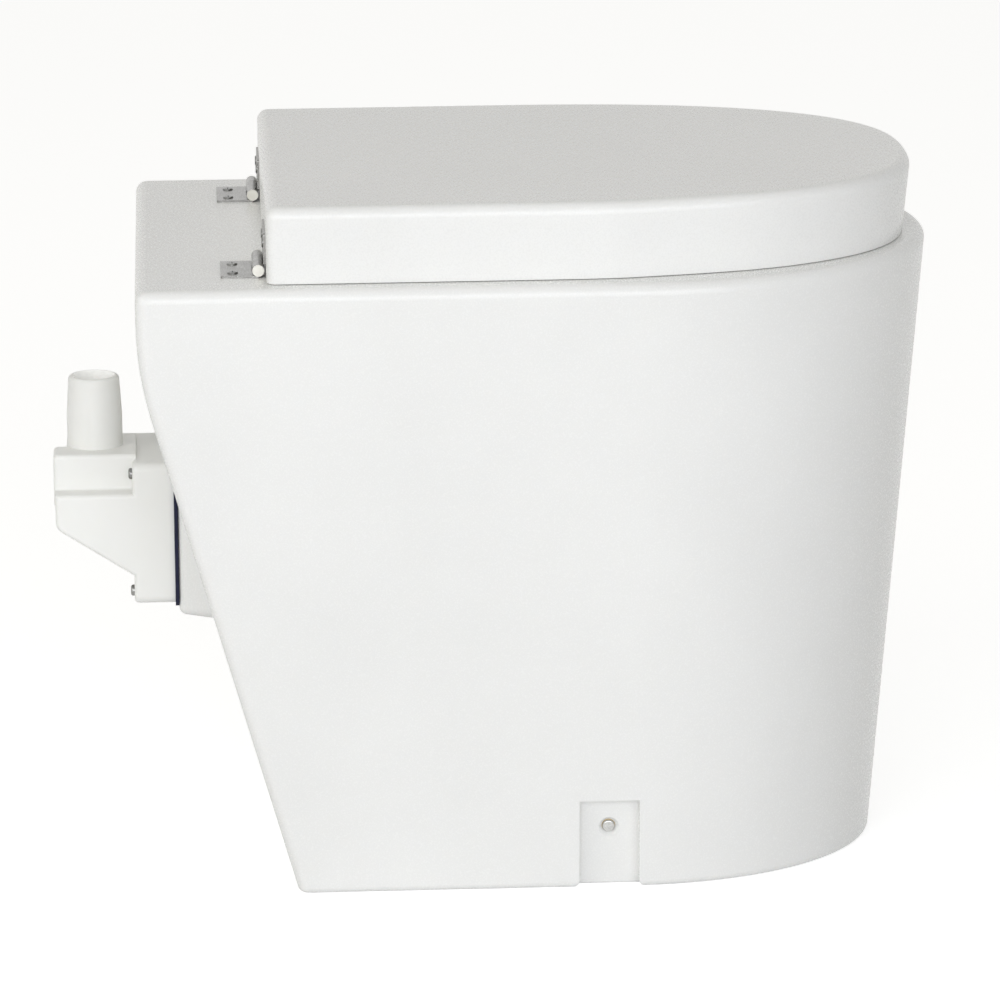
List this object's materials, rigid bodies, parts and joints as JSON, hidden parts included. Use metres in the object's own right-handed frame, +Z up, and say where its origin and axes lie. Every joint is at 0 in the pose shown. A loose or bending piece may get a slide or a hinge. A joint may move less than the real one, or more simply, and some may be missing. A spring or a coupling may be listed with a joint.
{
  "type": "composting toilet",
  "caption": "Free-standing urine-diverting composting toilet with a hinged lid, a lift-out bowl, a solids pail, a urine bottle and a rear fan housing with a vent hose spigot.",
  "frame": {"origin": "on the floor, under the middle of the whole outline", "axes": "+Z up, -Y the way the toilet faces, +X the sitter's left"},
  "size_m": [0.3902, 0.601, 0.4825],
  "materials": {
    "white_body": "satin",
    "white_lid": "satin",
    "white_housing": "satin",
    "white_seat": "smooth",
    "bumper_rubber": "soft",
    "seal_foam": "foam",
    "seal_rubber": "soft",
    "grey_fitting": "moulded",
    "black_pail": "moulded",
    "natural_bottle": "translucent moulded",
    "navy_gasket": "foam",
    "stainless_mesh": "perforated",
    "stainless": "polished",
    "fan_black": "moulded",
    "brass": "turned",
    "motor_winding": "wound and varnished",
    "lead_sheath": "smooth"
  },
  "bodies": {
    "base": {"body_shell": "white_body", "seat_ring": "white_seat", "seat_buffers": "bumper_rubber", "diverter_bowl": "white_seat", "bowl_seal": "seal_foam", "drain_spout": "grey_fitting", "spout_washer": "seal_rubber", "spout_nut": "grey_fitting", "solids_pail": "black_pail", "urine_bottle": "natural_bottle", "hinge_deck_leaf_left": "stainless", "hinge_deck_leaf_right": "stainless", "hinge_pin_left": "stainless", "hinge_pin_right": "stainless", "hinge_deck_screws": "stainless", "fan_cover": "white_housing", "housing_gasket": "navy_gasket", "insect_screen": "stainless_mesh", "fan_frame": "fan_black", "fan_sleeve": "brass", "fan_stator": "motor_winding", "housing_screws": "stainless", "housing_inserts": "brass", "power_socket": "fan_black", "socket_nut": "stainless", "fan_lead": "lead_sheath", "side_screws": "stainless", "side_inserts": "brass"},
    "lid": {"lid": "white_lid", "lid_bumpers": "bumper_rubber", "hinge_lid_leaf_left": "stainless", "hinge_lid_leaf_right": "stainless", "hinge_lid_screws": "stainless"},
    "rotor": {"fan_rotor": "fan_black"}
  },
  "joints": [
    {"name": "lid_hinge", "type": "hinge", "parent": "base", "child": "lid", "pos_m": [0, 0.15965, 0.4348], "axis": [-1, 0, 0], "range_deg": [0, 100]},
    {"name": "fan_spin", "type": "hinge", "parent": "base", "child": "rotor", "pos_m": [0, 0.21941, 0.2296], "axis": [0, 1, 0], "continuous": true}
  ]
}
